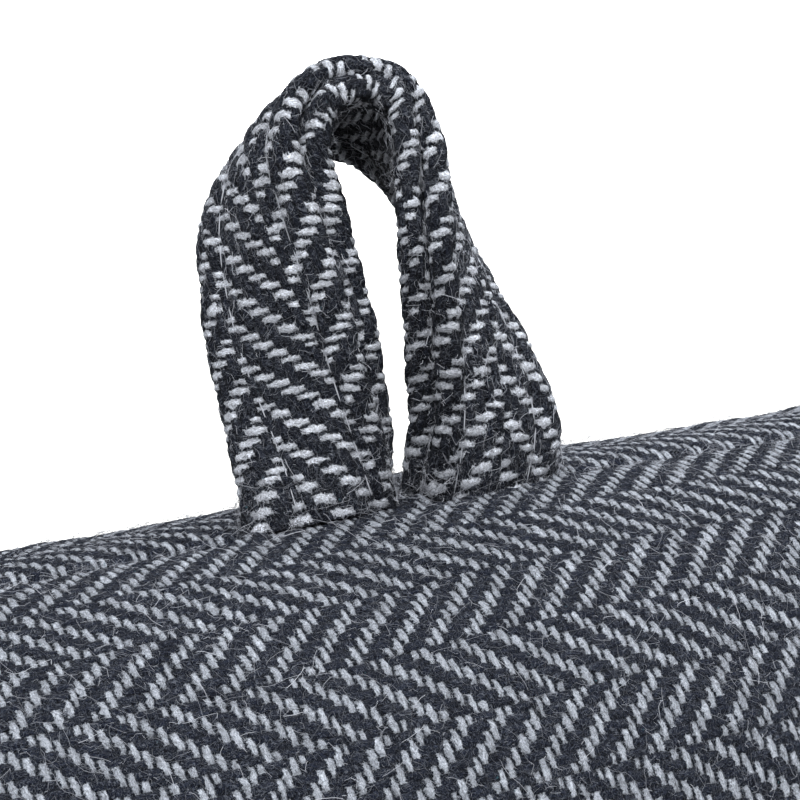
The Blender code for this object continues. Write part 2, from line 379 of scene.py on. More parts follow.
    # Bump: the fibres everywhere, and the yarns where the mesh itself isn't raised.
    raised = add(tree, "ShaderNodeAttribute", attribute_name="raised").outputs["Fac"]
    flat = add(tree, "ShaderNodeMapRange", {0: raised, 1: 0.0, 2: 1.0, 3: 1.0, 4: 0.55}).outputs[0]
    bump_height = add(tree, "ShaderNodeMath", {0: height, 1: flat}, operation="MULTIPLY").outputs[0]
    for roughening, share in ((weft_fibre, 0.55), (warp_fibre, 0.55), (hairs[0], 0.14), (hairs[2], 0.14)):
        bump_height = add(
            tree, "ShaderNodeMath", {0: roughening, 1: share, 2: bump_height}, operation="MULTIPLY_ADD"
        ).outputs[0]
    bump = add(tree, "ShaderNodeBump", {"Height": bump_height, "Strength": 0.9, "Distance": relief})
    tree.links.new(bump.outputs[0], shader.inputs["Normal"])
    shader.inputs["Roughness"].default_value = 0.92
    shader.inputs["Specular IOR Level"].default_value = 0.06
    shader.inputs["Sheen Weight"].default_value = 0.01
    shader.inputs["Sheen Roughness"].default_value = 0.5
    material.diffuse_color = (0.12, 0.125, 0.15, 1.0)
    return material


YARN_RELIEF = 0.30 * MM
body_tweed = tweed_material("woollen herringbone tweed", "#A3A9B3", "#0E1119", YARN_RELIEF, 0.16)
strip_tweed = tweed_material("woollen herringbone strip", "#CFD4DE", "#0C0E14", YARN_RELIEF, 0.22)
print("tweed uses", len(body_tweed.node_tree.nodes), "nodes")

# %% [markdown]
# ## One way to make a skin
#
# Both the tube and the strip are swept shapes: rings of points, one behind the other. `skin`
# joins rings into a closed mesh, writes the yarn count of each corner as its UV, and keeps
# how far each point was raised, so that the shader needn't raise it again.
#
# An end is either cut flat, hidden inside the next length, or sewn shut. Where it is sewn, the
# upper cloth goes on over the narrow edge, so that no bare slit shows at the seam.

# %% Skin through rings
def skin(name, points, ends, picks, marks, material, caps=("flat", "flat")):
    """points is rows x columns x 3. ends and picks have one more column, where the ring closes."""
    rows, columns = points.shape[:2]
    row, column = np.meshgrid(np.arange(rows - 1), np.arange(columns), indexing="ij")
    following = (column + 1) % columns
    corners = [row * columns + column, (row + 1) * columns + column]
    corners += [(row + 1) * columns + following, row * columns + following]
    faces = np.stack(corners, axis=-1).reshape(-1, 4)
    spots = [(row, column), (row + 1, column), (row + 1, column + 1), (row, column + 1)]
    uv = np.stack([np.stack([ends[s], picks[s]], axis=-1) for s in spots], axis=2).reshape(-1, 2)
    faces = faces.tolist()
    cap_uv = []
    for cap, edge, inner, turn_round in zip(caps, (0, rows - 1), (1, rows - 2), (False, True)):
        start = edge * columns
        ring = list(range(start, start + columns))
        if cap == "flat":
            faces.append(ring[::-1] if turn_round else ring)
            cap_uv += [(0.0, 0.0)] * columns
            continue
        # Sewn shut: each corner of the ring joins the one across the seam.
        for j in range(columns // 2):
            upper = [(cap + j) % columns, (cap + j + 1) % columns]
            lower = [(cap - j) % columns, (cap - j - 1) % columns]
            spots = {}
            for top, bottom in zip(upper, lower):
                row_gap = np.linalg.norm(points[edge, top] - points[inner, top])
                rate = (picks[edge, top] - picks[inner, top]) / max(row_gap, 1e-9)
                drop = rate * np.linalg.norm(points[edge, top] - points[edge, bottom])
                spots[bottom] = (ends[edge, top], picks[edge, top] + drop)
                spots[top] = (ends[edge, top], picks[edge, top])
            face = list(dict.fromkeys((upper[0], lower[0], lower[1], upper[1])))
            face = face if turn_round else face[::-1]
            faces.append([start + i for i in face])
            cap_uv += [spots[i] for i in face]
    mesh = bpy.data.meshes.new(name)
    mesh.from_pydata(points.reshape(-1, 3).tolist(), [], faces)
    layer = mesh.uv_layers.new(name="yarns")
    corners = np.concatenate([uv, np.array(cap_uv)]).astype(np.float32)
    layer.data.foreach_set("uv", corners.reshape(-1))
    marks["hairy"][[0, -1]] = 0.0
    for mark, values in marks.items():
        kept = mesh.attributes.new(mark, "FLOAT", "POINT")
        kept.data.foreach_set("value", values.reshape(-1).astype(np.float32))
    # All is smooth but the flat cuts, which are the only faces with more than four corners.
    mesh.polygons.foreach_set("use_smooth", [len(face) < 5 for face in faces])
    mesh.materials.append(material)
    made = bpy.data.objects.new(name, mesh)
    bpy.context.scene.collection.objects.link(made)
    print(name, len(mesh.polygons), "faces")
    return made


def outward(points):
    """The outward normal at each point of rows of closed rings."""
    around = np.roll(points, -1, axis=1) - np.roll(points, 1, axis=1)
    along = np.gradient(points, axis=0)
    normals = np.cross(along, around)
    normals /= np.maximum(np.linalg.norm(normals, axis=-1, keepdims=True), 1e-12)
    return normals


# %% [markdown]
# ## The hanging loop
#
# The loop is a strip of the same tweed, folded in four and topstitched along both edges.
# Its feet are caught side by side in the long seam, so the open edge closes to a narrow gap
# in front while the folded edge spreads behind, like a cone.
#
# Each row of the table holds a place on both edges of the strip, and where the herringbone's
# spine runs on it. A curve through the rows gives the sweep, and the strip's outline, two
# puffed sides with a groove between them, is carried along it.

# %% The strip's route and outline
PLY = 3.1 * MM
PLY_LAG = 0.8 * MM
TAPE_CUP = 0.7 * MM
GROOVE_DEPTH = 3.6 * MM
GROOVE_GAP = 0.5 * MM
REAR_STITCH_INSET = 5.8 * MM
STITCH_PINCH = 0.6 * MM
FOOT_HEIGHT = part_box("hanging_loop")[0][2]
LOOP_TURN = math.radians(28)
LOOP_LEAN = math.radians(15)
LOOP_END_PITCH = 1.45 * MM
LOOP_PICK_PITCH = 1.42 * MM

# front edge across, up, back; rear edge across, up, back; front stitches; spine. In millimetres.
LOOP_ROWS = (
    (-1.1, 0.0, -0.4, -20.0, -2.8, -10.0, 4.6, 1.0),
    (-2.1, 10.0, -2.6, -22.0, 6.2, -4.2, 4.8, 2.6),
    (-3.7, 19.6, -5.0, -24.2, 15.8, 0.8, 5.0, 4.2),
    (-6.1, 29.8, -7.0, -25.8, 26.5, 3.6, 5.0, 5.8),
    (-9.0, 39.7, -8.0, -25.2, 37.1, 6.2, 5.2, 7.2),
    (-10.8, 46.8, -8.0, -22.4, 42.0, 8.0, 5.2, 7.6),
    (-9.3, 53.2, -8.0, -17.2, 46.2, 9.4, 5.2, 7.8),
    (-4.0, 55.5, -8.0, -11.0, 47.9, 10.0, 5.0, 7.9),
    (1.1, 53.8, -8.0, -4.8, 46.2, 10.8, 4.8, 7.9),
    (3.1, 48.5, -8.0, 0.2, 42.4, 11.0, 4.4, 7.9),
    (3.2, 38.7, -7.5, 5.5, 35.0, 11.0, 4.0, 7.9),
    (3.3, 28.5, -6.5, 11.6, 27.2, 10.5, 3.9, 8.0),
    (3.4, 18.1, -4.5, 17.3, 19.0, 10.0, 3.9, 8.8),
    (2.8, 7.9, -2.0, 20.9, 9.0, 9.9, 4.2, 9.4),
    (1.1, 0.0, 0.4, 20.0, 2.8, 10.0, 4.4, 9.8),
)


def smooth_route(rows, count):
    """A cubic curve through the rows, with the stations an equal length apart along the middle."""
    values = np.array(rows, float)
    middles = (values[:, :3] + values[:, 3:6]) / 2
    knots = np.concatenate([[0], np.cumsum(np.linalg.norm(np.diff(middles, axis=0), axis=1))])
    slopes = np.gradient(values, knots, axis=0)
    places = np.linspace(0, knots[-1], count)
    i = np.clip(np.searchsorted(knots, places, side="right") - 1, 0, len(rows) - 2)
    span = (knots[i + 1] - knots[i])[:, None]
    s = ((places - knots[i]) / span[:, 0])[:, None]
    start = (1 + 2 * s) * (1 - s) ** 2 * values[i] + s * (1 - s) ** 2 * span * slopes[i]
    end = s * s * (3 - 2 * s) * values[i + 1] + s * s * (s - 1) * span * slopes[i + 1]
    return start + end


def tape_outline(width, inset):
    """The folded strip's outline as (depth from the open edge, height towards the outer face)."""
    gap = GROOVE_GAP / 2
    rim = [
        (GROOVE_DEPTH * 0.55, gap),
        (0.30 * PLY, gap * 1.3),
        (0.08 * PLY, gap + 0.22 * PLY),
        (0.0, gap + 0.48 * PLY),
        (0.10 * PLY, gap + 0.78 * PLY),
        (0.36 * PLY, gap + 0.98 * PLY),
    ]
    face = [
        (inset - 1.1 * MM, PLY + 0.1 * MM),
        (inset, PLY - STITCH_PINCH),
        (inset + 1.8 * MM, PLY),
        (width / 2, PLY + 0.2 * MM),
        (width - REAR_STITCH_INSET - 1.6 * MM, PLY),
        (width - REAR_STITCH_INSET, PLY - STITCH_PINCH),
        (width - REAR_STITCH_INSET + 1.8 * MM, PLY),
        (width - 1.3 * MM, PLY - 0.9 * MM),
        (width - 0.3 * MM, PLY - 2.0 * MM),
    ]
    outer = [(depth + PLY_LAG, height) for depth, height in rim] + face
    inner = [(depth - PLY_LAG, -height) for depth, height in rim]
    inner += [(depth, -height) for depth, height in face]
    outline = np.array([(GROOVE_DEPTH, 0.0)] + outer + [(width, 0.0)] + inner[::-1])
    cup = TAPE_CUP * (1 - ((outline[:, 0] - width / 2) / (width / 2)) ** 2)
    return np.stack([outline[:, 0], outline[:, 1] + cup], axis=-1)


def rounded(outline, count):
    """A closed smooth curve through the outline's points, at equal steps, with its girth."""
    before, after = np.roll(outline, 1, axis=0), np.roll(outline, -1, axis=0)
    beyond = np.roll(outline, -2, axis=0)
    t = np.linspace(0, 1, 12, endpoint=False)[None, :, None]
    p, q, r, s = (part[:, None, :] for part in (before, outline, after, beyond))
    bend, twist = 2 * p - 5 * q + 4 * r - s, 3 * q - p - 3 * r + s
    curve = 0.5 * (2 * q + (r - p) * t + bend * t**2 + twist * t**3)
    curve = curve.reshape(-1, 2)
    closed = np.concatenate([curve, curve[:1]])
    girth = np.concatenate([[0], np.cumsum(np.linalg.norm(np.diff(closed, axis=0), axis=1))])
    places = np.linspace(0, girth[-1], count, endpoint=False)
    return np.stack([np.interp(places, girth, closed[:, k]) for k in (0, 1)], axis=-1), girth[-1]


def loop_axes():
    cos_turn, sin_turn = math.cos(LOOP_TURN), math.sin(LOOP_TURN)
    cos_lean, sin_lean = math.cos(LOOP_LEAN), math.sin(LOOP_LEAN)
    right_way = np.array([cos_turn, -sin_turn, 0.0])
    back_way = np.array([sin_turn * cos_lean, cos_turn * cos_lean, -sin_lean])
    return np.array([right_way, np.cross(right_way, back_way), back_way])


def unit(rows):
    return rows / np.linalg.norm(rows, axis=-1, keepdims=True)


# Each foot on the cover, seen from above: the ends of its front edge and of its rear edge.
FEET = [
    [(np.array(edge) * MM @ loop_axes())[:2] for edge in (row[:3], row[3:6])]
    for row in (LOOP_ROWS[0], LOOP_ROWS[-1])
]

# %% [markdown]
# ## The filled tube
#
# The cover is one rectangle of tweed, rolled round its filling and sewn along the top. Under
# its own weight the lower half sags a little and the underside goes flat. Each end is sewn
# straight across, which draws the round tube into a pillow corner with puckers.
#
# A cloth simulation would find this shape too, but the photograph fixes it closely: the
# firm filling leaves no folds. So the form is worked out from the maker's sizes, the same
# ones as in the solid model, and time goes into the yarns. The part that the camera sees
# from near gets a fine mesh with every yarn raised. The rest is coarser and uses bump.

# %% The tube's form
TUBE_LENGTH = 850 * MM
TUBE_RADIUS = 57 * MM
LOWER_HEIGHT = 0.92
FLOOR_SINK = 2.5 * MM
END_LENGTH = 78 * MM
END_SEAM_HALF_WIDTH = 67 * MM
END_SEAM_HALF_THICKNESS = 1.6 * MM
END_SEAM_HEIGHT = 40 * MM
END_DRAW_IN = 11 * MM
SEAM_DEPTH = 0.8 * MM
SEAM_SPREAD = 3.5 * MM
RADIUS_SWELLS = ((0.9 * MM, 310 * MM, 0.6), (0.5 * MM, 137 * MM, 2.1))
SIDE_SWELLS = ((1.1 * MM, 230 * MM, 1.1), (0.6 * MM, 96 * MM, 0.2))


# How the filling settled round the seam of the loop: places along the tube, and rises there.
RISE_PLACES = np.array([-110, -62, -40, -24, -8, 12, 30, 50, 80, 130]) * MM
RISES = np.array([0.0, 0.75, 0.1, -0.75, -0.5, 0.0, 0.0, -0.4, -0.8, 0.0]) * MM


def swell(x, swells):
    return sum(height * np.sin(2 * math.pi * x / wave + phase) for height, wave, phase in swells)


def tube_form(x_middle, turn, share, side):
    """Points of the cover. turn goes from the top seam over the front; share is the pinch."""
    radius = TUBE_RADIUS + swell(x_middle, RADIUS_SWELLS)
    bulge = swell(x_middle, SIDE_SWELLS) * np.sin(turn) ** 2 * np.cos(turn % (2 * math.pi) - 0.7)
    across = -(radius + bulge) * np.sin(turn)
    lift = radius * np.cos(turn)
    height = LOWER_HEIGHT * TUBE_RADIUS - FLOOR_SINK + np.where(lift > 0, lift, LOWER_HEIGHT * lift)
    arc = radius * np.abs(turn)
    height = height - SEAM_DEPTH * np.exp(-((arc / SEAM_SPREAD) ** 2))
    near_places = [np.interp(x_middle + shift, RISE_PLACES, RISES) for shift in (-5 * MM, 0, 5 * MM)]
    height = height + sum(near_places) / 3 * np.exp(-((turn / 0.9) ** 2))
    height = height - 0.9 * MM * np.exp(-((arc / (0.9 * MM)) ** 2)) * (1 - share)
    round_share = np.sqrt(np.maximum(0.0, 1 - share**2))
    sewn_height = END_SEAM_HEIGHT + END_SEAM_HALF_THICKNESS * np.cos(turn)
    height = round_share * height + (1 - round_share) * sewn_height
    wide = -END_SEAM_HALF_WIDTH * np.sin(turn)
    across = across + (wide - across) * share**1.5
    reach = np.abs(wide) / END_SEAM_HALF_WIDTH
    x = x_middle - side * END_DRAW_IN * (1 - reach**2) * share**2
    above = np.cos(turn) > 0
    fade = 4 * share * (1 - share) * (1 - reach**2)
    broad = np.cos(math.pi * 4.5 * across / END_SEAM_HALF_WIDTH + 0.8 * side)
    fine = np.cos(math.pi * 12.5 * across / END_SEAM_HALF_WIDTH + 2.1 * side)
    height = height + fade * np.where(above, 1, -0.6) * (2.6 * MM * broad + 0.7 * MM * share * fine)
    return np.stack([x, across, np.maximum(height, 0.0)], axis=-1)


def foot_lip(points):
    """The seam's edges stand up a little where they grip the feet of the hanging loop."""
    lip = np.zeros(points.shape[:2])
    for front, rear in FEET:
        way = (rear - front) / np.dot(rear - front, rear - front)
        share = np.clip((points[..., :2] - front) @ way, 0.0, 1.0)
        gap = np.linalg.norm(points[..., :2] - front - share[..., None] * (rear - front), axis=-1)
        lip = np.maximum(lip, 1.5 * MM * np.exp(-((gap / (2.6 * MM)) ** 2)))
    return lip


def girth_to_ends(turn):
    """Warp ends from the top seam: 1.25 mm each, and evened out underneath to whole stripes."""
    arc = TUBE_RADIUS * np.abs(turn)
    half_girth = TUBE_RADIUS * math.pi
    return np.sign(turn) * np.interp(arc, [0, 2 * MM, 101 * MM, half_girth], [0, 0.8, 80, 144])


# Where loose fibres are worth their weight: along the tube, the turns between which they grow.
PLACES = np.array([-80, -60, -40, 20, 40, 60, 90]) * MM
LOWEST = [30, 5, -22, -22, -22, -22, -22]
HIGHEST = [42, 44, 50, 66, 46, 18, -16]


def cover_piece(name, stations, turns, fine_turns, fine_reach, caps):
    """stations holds x, share of the pinched end, and which end."""
    turn = np.radians(turns)[None, :]
    x, share, side = (column[:, None] for column in np.array(stations).T)
    points = tube_form(x, turn, share, side)
    closing = np.concatenate([turn, turn[:, :1] - 2 * math.pi], axis=1)
    ends = girth_to_ends(closing) + STRIPE_ENDS + 0 * x
    # Picks are counted along the cloth, so the weave isn't stretched where an end is drawn in.
    steps = np.linalg.norm(np.diff(points, axis=0), axis=-1)
    along = np.concatenate([0 * steps[:1], np.cumsum(steps, axis=0)])
    nearest = np.argmin(np.abs(x[:, 0]))
    along = along - along[nearest] + x[nearest]
    picks = np.concatenate([along, along[:, :1]], axis=1) / PICK_PITCH
    ends, picks = uneven(ends, picks, 11)
    near = ramp(turn, *np.radians(fine_turns[0])) * ramp(-turn, *-np.radians(fine_turns[1]))
    near = near * ramp(x, *fine_reach[0]) * ramp(-x, *[-value for value in fine_reach[1]])
    lift = near * (weave_height(ends[:, :-1], picks[:, :-1]) - 1.2) * YARN_RELIEF
    lift = lift + foot_lip(points)
    lumps = 0.25 * MM * soft_noise(x / (9 * MM) + 40, turn * 6 + 20, 5) * (1 - share)
    lift = lift + lumps * ramp(np.abs(turn), 0.05, 0.2)
    points = points + outward(points) * lift[..., None]
    points[..., 2] = np.maximum(points[..., 2], 0.0)
    in_view = ramp(np.degrees(turn), *[np.interp(x, PLACES, LOWEST) + d for d in (-6, 0)])
    in_view = in_view * ramp(-np.degrees(turn), *[-np.interp(x, PLACES, HIGHEST) - d for d in (6, 0)])
    # Painted shade: the cloth along the lip that grips the loop's feet is painted up to a fifth darker.
    painted_light = 1 - 0.2 * foot_lip(points) / (1.5 * MM)
    hairy = near * in_view * (1 + 1.6 * foot_lip(points) / (1.5 * MM))
    marks = {"raised": near + 0 * lift, "hairy": hairy, "painted_light": painted_light + 0 * lift}
    return skin(name, points, ends, picks, marks, body_tweed, caps)


# %% [markdown]
# ## The cover's four lengths
#
# On the real object the cover is one cloth. Here it is laid in four lengths that meet end to
# end, so that the two in front of the camera can have a point every third of a millimetre,
# and no piece gets too heavy. Even there, the side away from the camera stays coarse.

# %% Four lengths, fine where the camera is near
PICK_PITCH = 1.33 * MM
NEAR_STEP = 0.33
away, below = np.arange(180, 67, -4), np.arange(-24, -180, -4)
near_turns = np.concatenate([away, np.arange(66, -22, -NEAR_STEP), below])
even_turns = np.arange(180, -180, -3.0)
middle_reach = TUBE_LENGTH / 2 - END_LENGTH
NEAR_LEFT, NEAR_CUT, NEAR_RIGHT = -72 * MM, 10 * MM, 88 * MM
fine_turns = ((-22, -19.5), (66, 63.5))
fine_reach = ((NEAR_LEFT, NEAR_LEFT + 2 * MM), (NEAR_RIGHT, NEAR_RIGHT - 2 * MM))
pinch = [math.sin(0.5 * math.pi * i / 60) for i in range(1, 61)]


def level(low, high, step):
    places = np.linspace(low, high, max(2, round((high - low) / step)))
    return [(x, 0.0, 0.0) for x in places]


left = [(-(middle_reach + END_LENGTH * s), s, -1.0) for s in pinch[::-1]]
right = [(middle_reach + END_LENGTH * s, s, 1.0) for s in pinch]
SEWN_AT = 30  # the column at a quarter turn from the seam, where an end seam has its corner
lengths_of_cover = (
    ("cover_left", left + level(-middle_reach, NEAR_LEFT, 4 * MM), even_turns, (SEWN_AT, "flat")),
    ("cover_near_left", level(NEAR_LEFT, NEAR_CUT, NEAR_STEP * MM), near_turns, ("flat", "flat")),
    ("cover_near_right", level(NEAR_CUT, NEAR_RIGHT, NEAR_STEP * MM), near_turns, ("flat", "flat")),
    ("cover_right", level(NEAR_RIGHT, middle_reach, 4 * MM) + right, even_turns, ("flat", SEWN_AT)),
)
cover_pieces = [
    cover_piece(name, stations, turns, fine_turns, fine_reach, caps)
    for name, stations, turns, caps in lengths_of_cover
]

# %% [markdown]
# ## The strip in its tweed
#
# The strip is cut from the same cloth, so its yarns are as thick as the cover's, and its
# herringbone runs along it with one spine near the middle. The yarns are raised in the mesh
# all over but for the groove, where the cloth's edges are turned in.

# %% Sweep the strip and raise its yarns
def loop_rings(stations, columns):
    """Points of the swept strip, with each one's girth from the groove and length along."""
    route = smooth_route(LOOP_ROWS, stations) * MM
    fronts, rears, insets, spines = route[:, :3], route[:, 3:6], route[:, 6], route[:, 7]
    middle = (fronts + rears) / 2
    ways = unit(np.gradient(middle, axis=0))
    widths = np.linalg.norm(rears - fronts, axis=1)
    wides = unit(rears - fronts)
    thicks = unit(np.cross(wides, ways))
    lengths = np.concatenate([[0], np.cumsum(np.linalg.norm(np.diff(middle, axis=0), axis=1))])
    rings, girths = [], []
    for front, width, wide, thick, inset in zip(fronts, widths, wides, thicks, insets):
        outline, girth = rounded(tape_outline(width, inset), columns)
        ring = front + outline[:, :1] * wide + outline[:, 1:] * thick
        rings.append(ring @ loop_axes() + [0.0, 0.0, FOOT_HEIGHT])
        girths.append(girth)
    return np.array(rings), np.array(girths), lengths, spines


LOOP_STATIONS, LOOP_COLUMNS = 400, 210
rings, girths, lengths, spines = loop_rings(LOOP_STATIONS, LOOP_COLUMNS)
rim_girth = 5.2 * MM  # from the groove's bottom round to the outer side's open edge
around = girths[:, None] * np.arange(LOOP_COLUMNS + 1)[None, :] / LOOP_COLUMNS
ends = (around - rim_girth - spines[:, None]) / LOOP_END_PITCH
picks = lengths[:, None] / LOOP_PICK_PITCH + 0 * ends
ends, picks = uneven(ends + 64, picks + 9, 31)
from_groove = np.minimum(around, girths[:, None] - around)[:, :-1]
free = ramp(from_groove, 1.2 * MM, 3.4 * MM)
lift = free * (weave_height(ends[:, :-1], picks[:, :-1]) - 1.2) * YARN_RELIEF * 1.3
lift += 0.25 * MM * free * soft_noise(picks[:, :-1] / 4, ends[:, :-1] / 4, 71)
surface = rings + outward(rings) * lift[..., None]
# The feet go down into the seam, where the cover's two edges hold them.
low = 1.6 * MM * ramp(-np.minimum(lengths, lengths[-1] - lengths), -6 * MM, 0)
surface[..., 2] -= low[:, None]
# Painted shade: the inner face, and the open edge low down on each leg (the right one more),
# are painted darker, as less light gets to them.
half_way = lengths[:, None] / lengths[-1]
inside = ramp(around, 29 * MM, 34 * MM)[:, :-1] * ramp(from_groove, 5.5 * MM, 9 * MM)
open_edge = 1 - ramp(from_groove, 6 * MM, 10 * MM)
painted_light = (1 - 0.6 * inside) * (1 - 0.40 * open_edge * ramp(half_way, 0.66, 0.82))
painted_light = painted_light * (1 - 0.25 * open_edge * ramp(-half_way, -0.22, -0.1))
ends_low = ramp(-np.minimum(half_way, 1 - half_way), -0.07, -0.02)
marks = {"raised": free, "hairy": 0.3 + 0.7 * free + ends_low, "painted_light": painted_light}
hanging_loop = skin("hanging_loop_strip", surface, ends, picks, marks, strip_tweed)
print("strip length", round(lengths[-1] / MM, 1), "mm, girth", round(girths.mean() / MM, 1), "mm")

# %% [markdown]
# ## Stray fibres
#
# Wool never lies quite flat. Hairs work out of the yarns, curl over the surface and stand up
# along every edge, and from this near they soften the whole pattern.
#
# Each hair is a thin ribbon. A few curled ribbons are made from curves bent by noise, and
# geometry nodes scatter them over the near cloth: turned at random, laid along the surface,
# some longer and some shorter. A stored tone says how light each one is.

# %% Fibre finish
def fibre_material(name, shade_hex, light_hex):
    material = bpy.data.materials.new(name)
    material.use_nodes = True
    tree = material.node_tree
    shader = tree.nodes["Principled BSDF"]
    tone = add(tree, "ShaderNodeAttribute", attribute_name="tone").outputs["Fac"]
    colour = add(
        tree,
        "ShaderNodeMix",
        {0: tone, 6: linear(shade_hex), 7: linear(light_hex)},
        data_type="RGBA",
    )
    tree.links.new(colour.outputs[2], shader.inputs["Base Color"])
    shader.inputs["Roughness"].default_value = 0.85
    shader.inputs["Specular IOR Level"].default_value = 0.1
    return material


loose_wool = fibre_material("loose wool fibres", "#1A1C22", "#C2C6D0")

# %% [markdown]
# ## Growing the fibres
#
# Fibres grow only where the camera is near and the surface is turned towards it, and more of
# them at the loop's feet, where cut yarns come out of the seam. Long ones lie over several
# yarns and short ones only roughen a yarn's outline, so both are scattered, each with its own
# seed.

# %% Geometry nodes that scatter curled fibres
KINDS = 6


def fibre_tree():
    tree = bpy.data.node_groups.new("scatter fibres", "GeometryNodeTree")
    tree.interface.new_socket("Geometry", in_out="INPUT", socket_type="NodeSocketGeometry")
    tree.interface.new_socket("Count per square metre", in_out="INPUT", socket_type="NodeSocketFloat")
    tree.interface.new_socket("Longest", in_out="INPUT", socket_type="NodeSocketFloat")
    tree.interface.new_socket("Seed", in_out="INPUT", socket_type="NodeSocketInt")
    tree.interface.new_socket("Bends", in_out="INPUT", socket_type="NodeSocketInt")
    tree.interface.new_socket("Width", in_out="INPUT", socket_type="NodeSocketFloat")
    tree.interface.new_socket("Finish", in_out="INPUT", socket_type="NodeSocketMaterial")
    tree.interface.new_socket("Geometry", in_out="OUTPUT", socket_type="NodeSocketGeometry")
    given = add(tree, "NodeGroupInput")
    hairy = add(tree, "GeometryNodeInputNamedAttribute", {"Name": "hairy"}, data_type="FLOAT").outputs[0]
    density = add(
        tree,
        "ShaderNodeMath",
        {0: given.outputs[1], 1: hairy},
        operation="MULTIPLY",
    ).outputs[0]
    spots = add(
        tree,
        "GeometryNodeDistributePointsOnFaces",
        {"Mesh": given.outputs[0], "Density": density, "Seed": given.outputs[3]},
    )
    tone = add(tree, "FunctionNodeRandomValue", {"Seed": given.outputs[3]}, data_type="FLOAT").outputs[1]
    tone = add(tree, "ShaderNodeMath", {0: tone, 1: 1.6}, operation="POWER").outputs[0]
    toned = add(
        tree,
        "GeometryNodeStoreNamedAttribute",
        {"Geometry": spots.outputs["Points"], "Name": "tone", "Value": tone},
        data_type="FLOAT",
        domain="POINT",
    ).outputs[0]
    kinds = add(tree, "GeometryNodeJoinGeometry")
    half = add(
        tree,
        "ShaderNodeMath",
        {0: given.outputs[5], 1: given.outputs[2]},
        operation="DIVIDE",
    ).outputs[0]
    half = add(tree, "ShaderNodeCombineXYZ", {1: half}).outputs[0]
    across = add(tree, "GeometryNodeCurvePrimitiveLine", {"End": half}).outputs[0]
    for kind in range(KINDS):
        line = add(
            tree,
            "GeometryNodeCurvePrimitiveLine",
            {"Start": (-0.3, 0, 0), "End": (0.3, 0, 0)},
        ).outputs[0]
        line = add(
            tree,
            "GeometryNodeResampleCurve",
            {"Curve": line, "Count": given.outputs[4]},
        ).outputs[0]
        place = add(tree, "GeometryNodeInputPosition").outputs[0]
        share = add(tree, "GeometryNodeSplineParameter").outputs[0]
        coil = 2.2 + 0.85 * kind
        angle = add(
            tree,
            "ShaderNodeMath",
            {0: share, 1: coil, 2: 1.9 * kind},
            operation="MULTIPLY_ADD",
        ).outputs[0]
        sine = add(tree, "ShaderNodeMath", {0: angle}, operation="SINE").outputs[0]
        cosine = add(tree, "ShaderNodeMath", {0: angle}, operation="COSINE").outputs[0]
        curl = add(tree, "ShaderNodeCombineXYZ", {0: sine, 1: cosine, 2: 0.35}).outputs[0]
        curl = add(
            tree,
            "ShaderNodeVectorMath",
            {0: curl, "Scale": 0.85 / coil},
            operation="SCALE",
        ).outputs[0]
        bend = add(
            tree,
            "ShaderNodeTexNoise",
            {"Vector": place, "W": 5.3 * kind, "Scale": 2.6, "Detail": 1.0},
            noise_dimensions="4D",
        ).outputs["Color"]
        bend = add(
            tree,
            "ShaderNodeVectorMath",
            {0: bend, 1: (0.5, 0.5, 0.44)},
            operation="SUBTRACT",
        ).outputs[0]
        bend = add(
            tree,
            "ShaderNodeVectorMath",
            {0: bend, 1: (0.9, 0.9, 0.8), 2: curl},
            operation="MULTIPLY_ADD",
        ).outputs[0]
        line = add(tree, "GeometryNodeSetPosition", {"Geometry": line, "Offset": bend}).outputs[0]
        ribbon = add(tree, "GeometryNodeCurveToMesh", {"Curve": line, "Profile Curve": across}).outputs[0]
        ribbon = add(tree, "GeometryNodeGeometryToInstance", {0: ribbon}).outputs[0]
        tree.links.new(ribbon, kinds.inputs[0])
    turn = add(
        tree,
        "FunctionNodeRandomValue",
        {"Min": (-0.35, -0.35, 0.0), "Max": (0.35, 0.35, 2 * math.pi), "Seed": 4},
        data_type="FLOAT_VECTOR",
    ).outputs[0]
    turned = add(
        tree,
        "FunctionNodeRotateRotation",
        {0: spots.outputs["Rotation"], 1: turn},
        rotation_space="LOCAL",
    ).outputs[0]
    size = add(tree, "FunctionNodeRandomValue", {"Seed": 6}, data_type="FLOAT")
    size.inputs[2].default_value = 0.35
    size.inputs[3].default_value = 1.0
    size = add(
        tree,
        "ShaderNodeMath",
        {0: size.outputs[1], 1: given.outputs[2]},
        operation="MULTIPLY",
    ).outputs[0]
    pick = add(tree, "FunctionNodeRandomValue", {"Seed": 8}, data_type="INT")
    pick.inputs[4].default_value = 0
    pick.inputs[5].default_value = KINDS - 1
    placed = add(
        tree,
        "GeometryNodeInstanceOnPoints",
        {
            "Points": toned,
            "Instance": kinds.outputs[0],
            "Pick Instance": True,
            "Instance Index": pick.outputs[2],
            "Rotation": turned,
            "Scale": size,
        },
    ).outputs[0]
    real = add(tree, "GeometryNodeRealizeInstances", {0: placed}).outputs[0]
    done = add(
        tree,
        "GeometryNodeSetMaterial",
        {"Geometry": real, "Material": given.outputs[6]},
    ).outputs[0]
    add(tree, "NodeGroupOutput", {0: done})
    return tree


def grown(name, mesh, tree, values):
    """A plain mesh made by a node tree from another mesh. values are the tree's inputs by name."""
    carrier = bpy.data.objects.new(name, mesh)
    bpy.context.scene.collection.objects.link(carrier)
    modifier = carrier.modifiers.new("nodes", "NODES")
    modifier.node_group = tree
    for item in tree.interface.items_tree:
        if item.in_out == "INPUT" and item.name in values:
            modifier[item.identifier] = values[item.name]
    graph = bpy.context.evaluated_depsgraph_get()
    mesh = bpy.data.meshes.new_from_object(carrier.evaluated_get(graph), depsgraph=graph)
    carrier.modifiers.clear()
    carrier.data = mesh
    mesh.name = name
    print(name, len(mesh.polygons), "faces")
    return carrier


